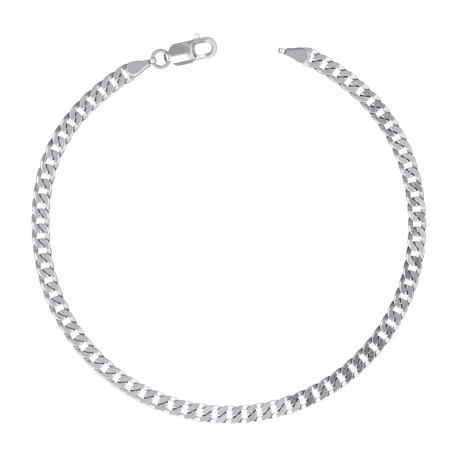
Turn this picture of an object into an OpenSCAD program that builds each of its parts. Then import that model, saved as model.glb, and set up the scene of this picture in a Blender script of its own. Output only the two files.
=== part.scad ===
// Flat curb link bracelet, lying open on a table, with a lobster clasp.
// Millimetres, +Z up. The origin is the middle of the loop, on the table.

/* [Chain] */
// Radius of the loop, from its middle to the middle of the links
loop_r = 32; // [31.5:0.5:36]
// Direction of the first link from the middle of the loop, in degrees
first_link_angle = 64.2; // [62:0.2:68]
// Direction that the links run round to, clockwise, in degrees
last_link_angle = -238; // [-240:0.5:-234]
// Length of a link over its two ends
link_l = 4.24; // [4.1:0.02:4.5]
// Width of a link over its two side bars
link_w = 3.14; // [2.9:0.02:3.4]
// Thickness of the chain between its filed faces
chain_t = 1; // [0.9:0.05:1.3]
// Width of the wire at the ends of a link
wire_w = 0.73; // [0.7:0.01:0.8]
// Width of a link's side bars
bar_w = 0.88; // [0.8:0.02:0.96]
// Gap between the ends of two links where they face each other
link_gap = 0.24; // [0.22:0.01:0.3]
// Power of the curve of a link's outline, where 2 is an ellipse
roundness = 2.8; // [2.6:0.1:3.2]

/* [End tags] */
// Distance from the middle of a soldered link to the middle of the eye
tag_reach = 5; // [4.7:0.05:5.4]
// Length of a tag from the middle of its eye to its round end
tag_l = 4.9; // [4.6:0.05:5.2]
// Width of a tag at its round end
tag_wide = 2.45; // [2.2:0.05:2.7]
// Width of a tag at its neck
tag_neck = 1.05; // [0.9:0.05:1.2]
// Thickness of a tag's plate
tag_t = 1.1; // [1:0.05:1.4]
// Height of a tag's underside over the table
tag_lift = 0.05; // [0.02:0.01:0.08]
// Radius of the hole through a tag's eye
eye_bore_r = 0.45; // [0.42:0.01:0.48]
// Wall round the hole of the eye
eye_wall = 0.11; // [0.1:0.01:0.16]
// Width of the eye along its hole
eye_w = 0.85; // [0.7:0.05:0.95]
// Width of the groove between the eye and the plate
groove_w = 0.2; // [0.1:0.05:0.3]
// Height of the neck in the groove
groove_z = 0.6; // [0.4:0.05:0.7]
// Turn of the free end's tag out of the line of its link, in degrees
free_tag_turn = 12; // [0:0.5:14]
// Turn of the clasp's tag out of the line of its link, in degrees
clasp_tag_turn = 10.5; // [0:0.5:14]
// How far the tag on the clasp's side lies outside the line of its link
clasp_tag_shift = 0.35; // [0:0.05:0.4]
// How much farther from its link the tag on the clasp's side lies
clasp_tag_lead = 0.15; // [0:0.05:0.3]
// Width of the bevel along a tag's plate, on one side
tag_bevel = 0.2; // [0.1:0.05:0.3]

/* [Jump ring] */
// Diameter of the jump ring at the middle of its wire
ring_d = 2.87; // [2.8:0.01:3.2]
// Diameter of the jump ring's wire
ring_wire_d = 0.56; // [0.5:0.01:0.6]
// Height of the jump ring's plane over the table
ring_z = 0.75; // [0.7:0.01:0.85]
// Saw cut in the jump ring, in degrees of its turn
ring_cut = 2.5; // [1:0.5:6]
// Direction of the saw cut from the middle of the jump ring, in degrees
ring_cut_angle = -73; // [-90:1:-50]

/* [Clasp] */
// Turn of the clasp out of the line of the tag beside it, in degrees
clasp_turn = 9.6; // [0:0.2:14]
// Length of the clasp from the jump ring's wire to the end of the hook
clasp_l = 8.38; // [8:0.02:9.4]
// Distance from the clasp's middle line to its spine
spine_y = 1.98; // [1.9:0.02:2.1]
// Distance from the clasp's middle line to its belly
belly_y = 1.8; // [1.8:0.02:1.95]
// Thickness of the clasp's body
clasp_t = 1.7; // [1.6:0.05:2]
// Radius of the round corners at the clasp's tail
tail_r = 1.45; // [1.2:0.05:1.6]
// Length of the hook, from the front of the clasp's body to the hook's end
hook_l = 3.76; // [3.6:0.02:3.9]
// Width of the hook's band, seen from above
hook_band = 0.88; // [0.8:0.01:0.92]
// Radius of the hook's round end over its outside
hook_r = 1.83; // [1.75:0.02:1.9]
// Thickness of the hook
hook_t = 1.2; // [1.1:0.05:1.4]
// Distance of the hook's tip from its end
tip_l = 2.33; // [2.1:0.01:2.4]
// How far the bevel round the mouth widens on the body
scoop = 0.45; // [0.1:0.05:0.6]
// Bevel along the edges of the hook
hook_bevel = 0.22; // [0.1:0.02:0.3]
// Radius of the knuckle that holds the jump ring
knuckle_r = 0.74; // [0.72:0.01:0.8]
// Width of the knuckle along its hole
knuckle_w = 1.3; // [1.1:0.05:1.35]
// Radius of the hole through the knuckle
knuckle_bore_r = 0.5; // [0.48:0.01:0.56]

/* [Lever] */
// Distance of the rivet behind the front of the clasp's body
rivet_back = 0.87; // [0.8:0.01:0.95]
// Distance of the rivet from the middle line, towards the belly
rivet_y = 0.95; // [0.9:0.05:1]
// Radius of the rivet
rivet_r = 0.22; // [0.18:0.01:0.25]
// Thickness of the lever inside the body
lever_t = 0.5; // [0.4:0.02:0.56]
// Thickness of the gate in the hook's mouth
gate_t = 1; // [0.8:0.05:1.2]
// Width of the gate, seen from above
gate_w = 0.7; // [0.6:0.02:0.74]
// Height of the thumb tab over the spine
tab_h = 0.95; // [0.8:0.05:1.1]
// Width of the thumb tab
tab_w = 1.16; // [0.9:0.02:1.16]
// Clearance at each side of the lever in its slot
lever_room = 0.1; // [0.08:0.01:0.14]
// Clearance round the rivet in the lever
rivet_room = 0.04; // [0.02:0.01:0.06]

/* [Hidden] */

// Chosen points of the loop as it lies. Each has its direction in degrees from +X, how much
// the radius differs there, as a share of the loop's radius, and how much the links
// are pulled apart there, as a share of their pitch.
route = [[-300, -0.022, -0.02], [-232, -0.022, -0.02], [-216, 0.002, -0.02], [-204, 0.013, 0.003],
         [-194, 0.01, 0.003], [-180, -0.002, 0.003], [-166, 0, 0.003], [-144, 0, 0.015],
         [-100, 0, 0.015], [-86, 0, 0], [-50, 0, 0], [-32, 0, -0.01], [-12, 0, -0.01],
         [4, 0, -0.002], [20, 0.0065, -0.002], [36, 0.007, -0.002], [54, -0.004, -0.002],
         [90, -0.004, -0.002]];
bow = [for (p = route) [p[0], p[1]]];
pull = [for (p = route) [p[0], p[2]]];

half_l = link_l / 2;
half_w = link_w / 2;
half_t = chain_t / 2;
pitch = link_l - 2 * wire_w - link_gap;
half_p = pitch / 2;
over = half_l - half_p;      // how far a link's end reaches past the middle between two links
hole_h = half_w - bar_w;     // half the height of a link's hole
slit = 1.18 * over / hole_h; // slope of the slit between two links, seen from above
low = 0.62 * link_gap;       // how far a crossing wire stays from the chain's middle plane

// A link's outline: its place along the link at a distance v from the middle line, and back
function out_u(v) = -half_l * pow(1 - pow(abs(v) / half_w, roundness), 1 / roundness);
function out_v(u) = half_w * pow(1 - pow(abs(u) / half_l, roundness), 1 / roundness);

// Sections of a quarter of a link, from beside its end to its side bar. Each has six points:
// top outer, top inner, middle inner, bottom inner, bottom outer and middle outer.
v1 = 0.55 * hole_h;
v2 = 0.51 * half_w;
lean = slit * v1 / half_t;
face = 0.64 * link_gap * sqrt(1 + lean * lean);
u3 = -0.745 * half_l;
u4 = -0.104 * half_l;
quarter = [
    [[out_u(v1) + 0.07 * over, v1, half_t],
     [-half_p + half_t * lean - face, v1, half_t],
     [-half_p - face, v1, 0],
     [-half_p - half_t * lean - face, v1, -half_t],
     [out_u(v1) + 0.015 * over, v1, -0.6 * half_t],
     [out_u(v1), v1, 0.1 * half_t]],
    [[out_u(v2) + 0.08 * over, v2, half_t],
     [-half_p + 0.8 * over, 0.88 * hole_h, half_t],
     [-half_p + 0.26 * over, 0.96 * hole_h, 0.6 * half_t],
     [-half_p - 0.54 * over, 1.1 * hole_h, 1.2 * low],
     [out_u(v2) + 0.19 * over, 1.02 * v2, 1.2 * low],
     [out_u(v2), v2, 0.6 * half_t]],
    [[u3, out_v(u3) - 0.06 * bar_w, half_t],
     [-half_p + 0.94 * over, hole_h, half_t],
     [-half_p + 0.56 * over, 1.13 * hole_h, 0.6 * half_t],
     [-half_p + 0.16 * over, 1.33 * hole_h, low],
     [0.975 * u3, out_v(u3) - 0.09 * bar_w, low],
     [1.013 * u3, out_v(1.013 * u3), 0.6 * half_t]],
    [[u4, out_v(u4) - 0.06 * bar_w, half_t],
     [u4, hole_h, half_t],
     [1.73 * u4, hole_h + 0.034 * bar_w, 0.64 * half_t],
     [2.54 * u4, hole_h + 0.136 * bar_w, low],
     [2.54 * u4, out_v(2.54 * u4) - 0.09 * bar_w, low],
     [1.82 * u4, out_v(1.82 * u4), 0.6 * half_t]]
];
end_section = [[-half_l + 0.07 * over, 0, half_t], [-half_p - link_gap / 2, 0, half_t],
               [-half_p - link_gap / 2, 0, 0], [-half_p - link_gap / 2, 0, -half_t],
               [-half_l + 0.07 * over, 0, -half_t], [-half_l, 0, 0]];

// A section turned half round about the link's length, its width or the upright
swap = [4, 3, 2, 1, 0, 5];
function scaled(section, by) = [for (p = section) [p.x * by.x, p.y * by.y, p.z * by.z]];
function swapped(section) = [for (i = swap) section[i]];
function backwards(list) = [for (i = [len(list) - 1 : -1 : 0]) list[i]];

// All sections of a link, clockwise from its left end
link_sections = concat(
    [end_section],
    quarter,
    backwards([for (s = quarter) swapped(scaled(s, [-1, 1, -1]))]),
    [swapped(scaled(end_section, [-1, 1, -1]))],
    [for (s = quarter) scaled(s, [-1, -1, 1])],
    backwards([for (s = quarter) swapped(scaled(s, [1, -1, -1]))])
);
section_count = len(link_sections);
section_sides = len(end_section);
link_points = [for (s = link_sections) for (p = s) p];

// Places of the links: the loop's radius in a direction, the step to the next link,
// and each link's direction from the middle of the loop
function route_r(a) = loop_r * (1 + (lookup(a - 8, bow) + lookup(a - 4, bow) + lookup(a, bow)
    + lookup(a + 4, bow) + lookup(a + 8, bow)) / 5);
function step(a) = let (
        p = pitch * (1 + lookup(a, pull)),
        r0 = route_r(a),
        r1 = route_r(a - 2 * asin(p / 2 / r0))
    ) 2 * asin(sqrt((p * p - (r1 - r0) * (r1 - r0)) / (r0 * r1)) / 2);
function walk(a) = a < last_link_angle ? [a] : concat([a], walk(a - step(a)));
link_angles = walk(first_link_angle + step(first_link_angle));
link_count = len(link_angles) - 2;
function place(i) = let (a = link_angles[i + 1]) route_r(a) * [cos(a), sin(a)];
function heading(i) = let (d = place(i + 1) - place(i - 1)) atan2(d.y, d.x);
function turned(p, angle) = [p.x * cos(angle) - p.y * sin(angle), p.x * sin(angle) + p.y * cos(angle)];
function ahead(from, distance, angle) = from + distance * [cos(angle), sin(angle)];

// A link's points where it lies in the chain, on the table
function placed_link(i) = let (c = place(i), h = heading(i))
    [for (p = link_points) let (q = turned([p.x, p.y], h)) [c.x + q.x, c.y + q.y, p.z + half_t]];

// The triangles of link number n of a list of links, two between each pair of edges
function link_faces(n) = [for (s = [0 : section_count - 1]) for (k = [0 : section_sides - 1])
    let (here = (n * section_count + s) * section_sides,
         there = (n * section_count + (s + 1) % section_count) * section_sides,
         m = (k + 1) % section_sides)
    each [[here + k, there + k, there + m], [here + k, there + m, here + m]]];

module links(from, to) {
    polyhedron(points = [for (i = [from : to]) each placed_link(i)],
               faces = [for (i = [from : to]) each link_faces(i - from)], convexity = 10);
}

last_link = link_count - 1;
middle_link = floor(link_count / 2);

module chain_first_half() color([0.75, 0.75, 0.78]) links(1, middle_link);

module chain_second_half() color([0.75, 0.75, 0.78]) links(middle_link + 1, last_link - 1);

// End tags, each soldered to the chain's last link on its side
eye_r = eye_bore_r + eye_wall;
plate_x = eye_r + groove_w;
widest_x = tag_l - 0.5 * tag_wide;
flare_steps = 8;
round_steps = 12;

// Half a tag's width at a share of its flare, with no slope at both ends
function tag_half_width(s) = tag_neck / 2 + (tag_wide - tag_neck) * (1 - cos(180 * s)) / 4;

// A tag from above: flared sides and a half ellipse
module tag_outline() {
    side = [for (i = [0 : flare_steps]) let (s = i / flare_steps)
        [plate_x + (widest_x - plate_x) * s, tag_half_width(s)]];
    end = [for (i = [1 : round_steps - 1]) let (a = 90 - 180 * i / round_steps)
        [widest_x + (tag_l - widest_x) * cos(a), tag_wide / 2 * sin(a)]];
    polygon(concat(side, end, backwards([for (p = side) [p.x, -p.y]])));
}

module tag_at(eye, angle, link) {
    difference() {
        union() {
            translate([eye.x, eye.y, tag_lift]) rotate(angle) {
                linear_extrude(tag_t) tag_outline();
                translate([0, tag_bevel, 0]) linear_extrude(0.7 * tag_t) tag_outline();
            }
            translate([eye.x, eye.y, tag_lift]) rotate(angle)
                translate([0.9 * eye_r, -eye_w / 2, 0])
                    cube([plate_x - 0.9 * eye_r + 0.1, eye_w, groove_z]);
            translate([eye.x, eye.y, ring_z]) rotate(angle) rotate([90, 0, 0])
                cylinder(r = eye_r, h = eye_w, center = true, $fn = 48);
            links(link, link);
        }
        translate([eye.x, eye.y, ring_z]) rotate(angle) rotate([90, 0, 0])
            cylinder(r = eye_bore_r, h = 2 * eye_w, center = true, $fn = 48);
    }
}

free_angle = heading(0) + free_tag_turn;
free_eye = ahead(place(0), -tag_reach, free_angle);
clasp_side_angle = heading(last_link) - clasp_tag_turn;
clasp_side_eye = ahead(ahead(place(last_link), tag_reach + clasp_tag_lead, clasp_side_angle),
                       clasp_tag_shift, clasp_side_angle + 90);

module free_end_tag() color([0.73, 0.73, 0.76]) tag_at(free_eye, free_angle, 0);

module clasp_end_tag() color([0.73, 0.73, 0.76])
    tag_at(clasp_side_eye, clasp_side_angle + 180, last_link);

// Jump ring, flat, through the tag's eye and the clasp's knuckle
clasp_angle = clasp_side_angle - clasp_turn;
ring_lead = 0.955 * ring_d / 2; // the wire bows towards the ring's middle inside the eye
ring_middle = ahead(clasp_side_eye, ring_lead, clasp_angle);

module jump_ring() color([0.8, 0.8, 0.82])
    translate([ring_middle.x, ring_middle.y, ring_z]) rotate(ring_cut_angle + ring_cut / 2)
        rotate_extrude(angle = 360 - ring_cut, $fn = 72)
            translate([ring_d / 2, 0]) circle(d = ring_wire_d, $fn = 32);

// Clasp, in its own frame: +X from the jump ring's wire to the hook, +Y to the spine
clasp_place = ahead(ring_middle, ring_d / 2, clasp_angle);
mid_z = clasp_t / 2;
hook_x = clasp_l - hook_r;
mouth_x = clasp_l - hook_l;
tip_x = clasp_l - tip_l;
rivet_x = mouth_x - rivet_back;
hook_y = 0.1 * spine_y;
hook_inner_r = hook_r - hook_band;
knuckle_x = -0.1 * knuckle_r;

module in_clasp() translate([clasp_place.x, clasp_place.y, 0]) rotate(clasp_angle) children();

function arc(c, r, from, to, steps) =
    [for (i = [0 : steps]) ahead(c, r, from + (to - from) * i / steps)];

// Outline of the body from above: round tail, straight spine and belly
module body_outline() {
    front_x = mouth_x + hook_inner_r / 2;
    polygon(concat(
        arc([tail_r, spine_y - tail_r], tail_r, 180, 90, 8),
        [[front_x, spine_y], [front_x, hook_y]],
        [[mouth_x, hook_y], [mouth_x, hook_y - hook_inner_r - 0.3 * hook_band]],
        [[mouth_x - 0.45, -0.8 * belly_y], [mouth_x - 1, -belly_y]],
        arc([0.08 * tail_r + tail_r, tail_r - belly_y], tail_r, 270, 180, 8)));
}

// Across the body: a flat back, a broad facet up to the crest, one down, and a bevel at the belly
module across_profile() {
    polygon([[spine_y, 0.2 * clasp_t], [spine_y, 0.81 * clasp_t], [0.2 * spine_y, clasp_t],
             [-0.74 * belly_y, 0.87 * clasp_t], [-belly_y, 0.6 * clasp_t], [-belly_y, 0.28 * clasp_t],
             [-0.72 * belly_y, 0], [0.82 * spine_y, 0]]);
}

// Along the body: a rounded tail, a level top and a bevel down to the hook
module along_profile() {
    polygon([[0, 0.15 * clasp_t], [0.4, 0], [mouth_x + hook_inner_r, 0],
             [mouth_x + hook_inner_r, mid_z + hook_t / 2], [mouth_x + hook_inner_r / 2, mid_z + hook_t / 2],
             [mouth_x, clasp_t], [0.45, clasp_t], [0.12, 0.93 * clasp_t], [0, 0.8 * clasp_t]]);
}

module hook_section() {
    h = hook_t / 2;
    b = hook_bevel;
    polygon([[hook_inner_r, b - h], [hook_inner_r + b, -h], [hook_r - b, -h], [hook_r, b - h],
             [hook_r, h - b], [hook_r - b, h], [hook_inner_r + b, h], [hook_inner_r, h - b]]);
}

module hook_leg(from_x, side) {
    translate([from_x, hook_y, mid_z]) scale([1, side, 1]) rotate([90, 0, 90])
        linear_extrude(hook_x - from_x) hook_section();
}

// The oblong mouth of the clasp, with round corners beside the body
module mouth_outline() {
    r = hook_inner_r / 2;
    polygon(concat(
        arc([mouth_x + r, hook_y + hook_inner_r - r], r, 90, 180, 6),
        arc([mouth_x + r, hook_y - hook_inner_r + r], r, 180, 270, 6),
        arc([hook_x, hook_y], hook_inner_r, -90, 90, 16)));
}

// The slot that the lever works in, open at the spine and in the mouth
slot_t = lever_t + 2 * lever_room;
module slot_outline() {
    corner_x = mouth_x + hook_inner_r / 2 + 0.05;
    polygon([[rivet_x - 0.7, -rivet_y - 0.62], [corner_x, -rivet_y - 0.62],
             [corner_x, hook_y + hook_inner_r - 0.05], [tip_x - 0.05, hook_y + hook_inner_r - 0.05],
             [tip_x - 0.05, spine_y + 1], [rivet_x - 0.75, spine_y + 1],
             [rivet_x - 1.05, 0.5 * spine_y], [rivet_x - 0.7, -rivet_y]]);
}

module clasp_body() color([0.82, 0.82, 0.84]) in_clasp() difference() {
    union() {
        intersection() {
            linear_extrude(2 * clasp_t) body_outline();
            translate([-clasp_l, 0, 0]) rotate([90, 0, 90]) linear_extrude(3 * clasp_l) across_profile();
            translate([0, 2 * belly_y, 0]) rotate([90, 0, 0]) linear_extrude(4 * belly_y) along_profile();
        }
        hook_leg(mouth_x - 0.2, 1);
        hook_leg(tip_x, -1);
        translate([hook_x, hook_y, mid_z]) rotate(-90) rotate_extrude(angle = 180, $fn = 72) hook_section();
        translate([knuckle_x, 0, mid_z]) rotate([90, 0, 0])
            cylinder(r = knuckle_r, h = knuckle_w, center = true, $fn = 48);
    }
    translate([0, 0, mid_z - clasp_t]) linear_extrude(2 * clasp_t) mouth_outline();
    translate([mouth_x + hook_inner_r, hook_y, mid_z + hook_t / 2 - hook_bevel])
        cylinder(r1 = hook_inner_r, r2 = hook_inner_r + 2 * hook_bevel + scoop, h = clasp_t - mid_z, $fn = 72);
    translate([0, 0, mid_z - slot_t / 2]) linear_extrude(slot_t) slot_outline();
    translate([knuckle_x, 0, mid_z]) rotate([90, 0, 0])
        cylinder(r = knuckle_bore_r, h = 2 * knuckle_w, center = true, $fn = 48);
    translate([-ring_d / 2, 0, ring_z]) rotate_extrude($fn = 72)
        translate([ring_d / 2, 0]) circle(d = ring_wire_d + 2 * lever_room, $fn = 32);
    translate([rivet_x, -rivet_y, mid_z])
        cylinder(r = rivet_r + rivet_seat, h = rivet_l + 2 * rivet_seat, center = true, $fn = 32);
}

// Lever: gate, boss and thumb tab in one piece, turning on the rivet
rivet_seat = 0.02;
rivet_l = 0.7 * clasp_t;
boss_r = 0.55;
gate_y = hook_y - hook_inner_r - 0.05; // the gate's inner side
gate_from = rivet_x + 1.2;
gate_to = tip_x - 0.1;
tab_to = tip_x - 0.2;

module lever_outline() {
    circle_y = -rivet_y;
    translate([rivet_x, circle_y]) circle(r = boss_r, $fn = 48);
    polygon([[rivet_x, circle_y - boss_r], [gate_from + 0.3, gate_y - gate_w],
             [gate_from + 0.3, gate_y], [rivet_x + 0.45, circle_y + 0.5],
             [mouth_x - 0.12, 0.5 * spine_y], [mouth_x + 0.3, hook_y + hook_inner_r + 0.05],
             [tab_to, hook_y + hook_inner_r + 0.12],
             [tab_to, spine_y + tab_h - 0.3], [tab_to - 0.3, spine_y + tab_h],
             [tab_to - tab_w + 0.35, spine_y + tab_h - 0.05], [tab_to - tab_w + 0.1, spine_y + tab_h - 0.35],
             [tab_to - tab_w, spine_y - 0.1], [rivet_x + 0.15, 0.62 * spine_y], [rivet_x - 0.4, circle_y + 0.35]]);
}

module gate_outline() {
    polygon([[gate_from, gate_y], [gate_to, gate_y], [gate_to, gate_y - gate_w], [gate_from, gate_y - gate_w]]);
}

module clasp_lever() color([0.85, 0.85, 0.87]) in_clasp() difference() {
    union() {
        translate([0, 0, mid_z - lever_t / 2]) linear_extrude(lever_t) lever_outline();
        translate([0, 0, mid_z - gate_t / 2]) linear_extrude(gate_t) gate_outline();
    }
    translate([rivet_x, -rivet_y, mid_z])
        cylinder(r = rivet_r + rivet_room, h = 2 * lever_t, center = true, $fn = 32);
}

module clasp_rivet() color([0.7, 0.7, 0.72]) in_clasp()
    translate([rivet_x, -rivet_y, mid_z]) cylinder(r = rivet_r, h = rivet_l, center = true, $fn = 32);

chain_first_half();
chain_second_half();
free_end_tag();
clasp_end_tag();
jump_ring();
clasp_body();
clasp_lever();
clasp_rivet();
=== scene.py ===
import math
import bmesh
import bpy
import numpy as np
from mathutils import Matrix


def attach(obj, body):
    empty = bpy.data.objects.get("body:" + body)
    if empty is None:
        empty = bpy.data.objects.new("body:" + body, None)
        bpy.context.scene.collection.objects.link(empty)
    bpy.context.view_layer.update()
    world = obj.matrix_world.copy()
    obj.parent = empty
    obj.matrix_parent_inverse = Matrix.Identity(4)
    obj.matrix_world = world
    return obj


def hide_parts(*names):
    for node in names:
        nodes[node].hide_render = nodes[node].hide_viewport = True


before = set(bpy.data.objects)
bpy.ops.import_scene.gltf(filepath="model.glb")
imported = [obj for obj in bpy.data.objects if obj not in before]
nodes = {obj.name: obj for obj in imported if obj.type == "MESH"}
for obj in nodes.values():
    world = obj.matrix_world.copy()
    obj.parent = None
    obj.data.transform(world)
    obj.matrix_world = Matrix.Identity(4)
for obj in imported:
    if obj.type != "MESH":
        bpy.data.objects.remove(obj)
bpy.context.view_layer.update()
mm = 0.001


# A value or a socket put into a node's input.
def setInput(tree, socket, value):
    if isinstance(value, bpy.types.NodeSocket):
        tree.links.new(value, socket)
    else:
        socket.default_value = value


# A node of a kind, with its inputs, by name or number, and its settings.
def addNode(tree, kind, inputs=None, **settings):
    item = tree.nodes.new(kind)
    for key, value in settings.items():
        setattr(item, key, value)
    for key, value in (inputs or {}).items():
        setInput(tree, item.inputs[key], value)
    return item


# One sum, product or other operation of numbers or sockets.
def mathNode(tree, operation, *values, clamp=False):
    inputs = dict(enumerate(values))
    return addNode(tree, "ShaderNodeMath", inputs, operation=operation, use_clamp=clamp).outputs[0]


# A socket stretched from one range to another, and held at its ends.
def rangeNode(tree, feed, start, end=(0.0, 1.0)):
    inputs = {"Value": feed, "From Min": start[0], "From Max": start[1],
              "To Min": end[0], "To Max": end[1]}
    return addNode(tree, "ShaderNodeMapRange", inputs).outputs[0]


# A mix of two colours, by a socket that runs from 0 to 1.
def mixNode(tree, share, first, second):
    inputs = {0: share, "A": first, "B": second}
    return addNode(tree, "ShaderNodeMix", inputs, data_type="RGBA").outputs["Result"]


# A ramp of greys over a socket, from (place, grey) pairs.
def rampNode(tree, feed, stops):
    item = addNode(tree, "ShaderNodeValToRGB", {0: feed})
    ramp = item.color_ramp
    while len(ramp.elements) < len(stops):
        ramp.elements.new(0.5)
    for element, (place, grey) in zip(ramp.elements, stops):
        element.position = place
        element.color = (grey, grey, grey, 1)
    return item.outputs["Color"]


# View: a long lens, and the stretch of table in millimetres that fills the photo's width, with
# its middle and its height.
view = {"lens": 600.0, "sensor": 36.0, "wide": 77.86, "middle": (0.02, -0.40), "plane": 0.8,
        "clip": (0.01, 5.0)}


# Camera straight above. Its distance is half the width over the tangent of half its angle.
def makeCamera():
    data = bpy.data.cameras.new("view")
    data.lens = view["lens"]
    data.sensor_width = view["sensor"]
    data.clip_start, data.clip_end = view["clip"]
    camera = bpy.data.objects.new("view", data)
    bpy.context.collection.objects.link(camera)
    far = view["wide"] / 2 * view["lens"] / (view["sensor"] / 2)
    camera.location = (view["middle"][0] * mm, view["middle"][1] * mm, (far + view["plane"]) * mm)
    bpy.context.scene.camera = camera
    print("camera made")


# Light tent: greys from straight up, at 0, to the horizon, at 1, towards -Y, towards +Y and to
# both sides. toFront and toBack are where -Y and +Y take over, as the sine of the bearing from
# +X, and least keeps straight up from a division by 0.
sky = {
    "front": [(0.0, 0.43), (0.06, 0.48), (0.13, 1.25), (0.32, 1.2), (0.45, 0.72), (0.58, 0.72),
              (0.68, 1.15), (1.0, 1.2)],
    "back": [(0.0, 0.43), (0.1, 0.4), (0.2, 0.37), (0.35, 0.31), (0.7, 0.24), (0.88, 0.55),
             (1.0, 0.6)],
    "flank": [(0.0, 0.43), (0.08, 0.46), (0.25, 0.95), (0.4, 1.2), (0.75, 1.2), (0.9, 0.3),
              (1.0, 0.15)],
    "toFront": (0.2, 0.9), "toBack": (0.3, 0.85), "least": 0.001,
}


# Sky: the angle from straight up picks a grey on each ramp, and the bearing mixes the ramps.
def makeSky():
    world = bpy.data.worlds.new("sky")
    bpy.context.scene.world = world
    world.use_nodes = True
    tree = world.node_tree
    tree.nodes.clear()
    place = addNode(tree, "ShaderNodeTexCoord").outputs["Generated"]
    x, y, z = addNode(tree, "ShaderNodeSeparateXYZ", {0: place}).outputs
    angle = mathNode(tree, "DIVIDE", mathNode(tree, "ARCCOSINE", z), math.pi / 2, clamp=True)
    squares = [mathNode(tree, "MULTIPLY", way, way) for way in (x, y)]
    level = mathNode(tree, "SQRT", mathNode(tree, "ADD", *squares))
    bearing = mathNode(tree, "DIVIDE", y, mathNode(tree, "MAXIMUM", level, sky["least"]))
    front, back, flank = [rampNode(tree, angle, sky[side]) for side in ("front", "back", "flank")]
    toFront = rangeNode(tree, mathNode(tree, "MULTIPLY", bearing, -1.0), sky["toFront"])
    toBack = rangeNode(tree, bearing, sky["toBack"])
    light = mixNode(tree, toBack, mixNode(tree, toFront, flank, front), back)
    shine = addNode(tree, "ShaderNodeBackground", {"Color": light}).outputs[0]
    addNode(tree, "ShaderNodeOutputWorld", {"Surface": shine})
    print("sky made")


# Floor, in metres: half its side, its white, and the grey of its reflected light, which fades
# from near to far between two places along Y.
floor = {"half": 1.5, "white": 1.02, "near": 0.75, "far": 0.3, "from": -0.027, "to": -0.012}


# A large flat sheet, plain white to the eye and grey in reflections, as in a light tent.
def makeFloor():
    h = floor["half"]
    mesh = bpy.data.meshes.new("floor")
    mesh.from_pydata([(-h, -h, 0), (h, -h, 0), (h, h, 0), (-h, h, 0)], [], [(0, 1, 2, 3)])
    piece = bpy.data.objects.new("floor", mesh)
    bpy.context.collection.objects.link(piece)
    material = bpy.data.materials.new("floor")
    material.use_nodes = True
    tree = material.node_tree
    tree.nodes.clear()
    seen = addNode(tree, "ShaderNodeLightPath").outputs["Is Camera Ray"]
    place = addNode(tree, "ShaderNodeTexCoord").outputs["Object"]
    across = addNode(tree, "ShaderNodeSeparateXYZ", {0: place}).outputs["Y"]
    fade = rangeNode(tree, across, (floor["from"], floor["to"]), (floor["near"], floor["far"]))
    grey = addNode(tree, "ShaderNodeBsdfDiffuse", {"Color": fade}).outputs[0]
    white = addNode(tree, "ShaderNodeEmission", {"Strength": floor["white"]}).outputs[0]
    both = addNode(tree, "ShaderNodeMixShader", {0: seen, 1: grey, 2: white}).outputs[0]
    addNode(tree, "ShaderNodeOutputMaterial", {"Surface": both})
    mesh.materials.append(material)
    print("floor made")


# Finishes of silver: tint, roughness, height of the grain and its size in millimetres, and for
# the uneven ones the darkest and the lightest tone, as shares of the tint.
silver = {
    "polished_silver": ((0.925, 0.915, 0.96), 0.16, 0.0003, 0.2),
    "buffed_silver": ((0.925, 0.915, 0.96), 0.27, 0.0003, 0.2),
    "satin_silver": ((0.72, 0.715, 0.745), 0.55, 0.001, 0.15),
    # A lighter copy, laid as a painted highlight on the clasp.
    "highlight_silver": ((0.96, 0.955, 0.97), 0.6, 0.001, 0.15),
    # The next two are darker copies laid as painted shade.
    "shaded_silver": ((0.34, 0.335, 0.36), 0.35, 0.001, 0.15),
    "rim_shade_silver": ((0.45, 0.445, 0.47), 0.4, 0.001, 0.15),
    "plate_silver": ((0.795, 0.78, 0.84), 0.24, 0.006, 0.2),
    "filed_silver": ((0.915, 0.9, 0.965), 0.2, 0.012, 0.16),
    "filed_silver_grey": ((0.56, 0.545, 0.6), 0.22, 0.02, 0.12, (0.3, 1.7)),
    "filed_silver_dark": ((0.32, 0.31, 0.35), 0.24, 0.03, 0.12, (0.0, 2.0)),
    # The next three are darker copies: painted shade on slopes, in two greys, and painted shadow in
    # slits and under crossing wires.
    "slope_shade_silver": ((0.46, 0.45, 0.49), 0.45, 0.006, 0.16),
    "light_slope_shade_silver": ((0.735, 0.725, 0.78), 0.5, 0.006, 0.16),
    "crevice_shadow_silver": ((0.12, 0.115, 0.13), 0.45, 0.004, 0.12),
}

# Noise of the silver: scale of the patches as a share of the grain's, the details of both, and
# the gloss's range as shares of the roughness.
silverNoise = {"patches": 0.35, "patchDetail": 3.0, "grainDetail": 4.0, "gloss": (0.8, 1.2)}


# Silver: a metal with one noise for its tint and gloss and one for its grain, both over the
# object's own space. The tint and the roughness follow the first, and the bump the second.
def makeSilver(name, tint, rough, grain, size, tones=(0.93, 1.05)):
    n = silverNoise
    material = bpy.data.materials.new(name)
    material.use_nodes = True
    tree = material.node_tree
    place = addNode(tree, "ShaderNodeTexCoord").outputs["Object"]
    patches = addNode(tree, "ShaderNodeTexNoise", {
        "Vector": place, "Scale": n["patches"] / (size * mm), "Detail": n["patchDetail"]}).outputs["Fac"]
    fine = addNode(tree, "ShaderNodeTexNoise", {
        "Vector": place, "Scale": 1 / (size * mm), "Detail": n["grainDetail"]}).outputs["Fac"]
    bump = addNode(tree, "ShaderNodeBump", {"Strength": 1.0, "Distance": grain * mm, "Height": fine})
    dark, light = [tuple(min(1.0, tone * t) for t in tint) + (1,) for tone in tones]
    gloss = [share * rough for share in n["gloss"]]
    inputs = tree.nodes["Principled BSDF"].inputs
    setInput(tree, inputs["Metallic"], 1.0)
    setInput(tree, inputs["Base Color"], mixNode(tree, patches, dark, light))
    setInput(tree, inputs["Roughness"], rangeNode(tree, patches, (0.0, 1.0), gloss))
    setInput(tree, inputs["Normal"], bump.outputs["Normal"])
    return material


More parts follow.
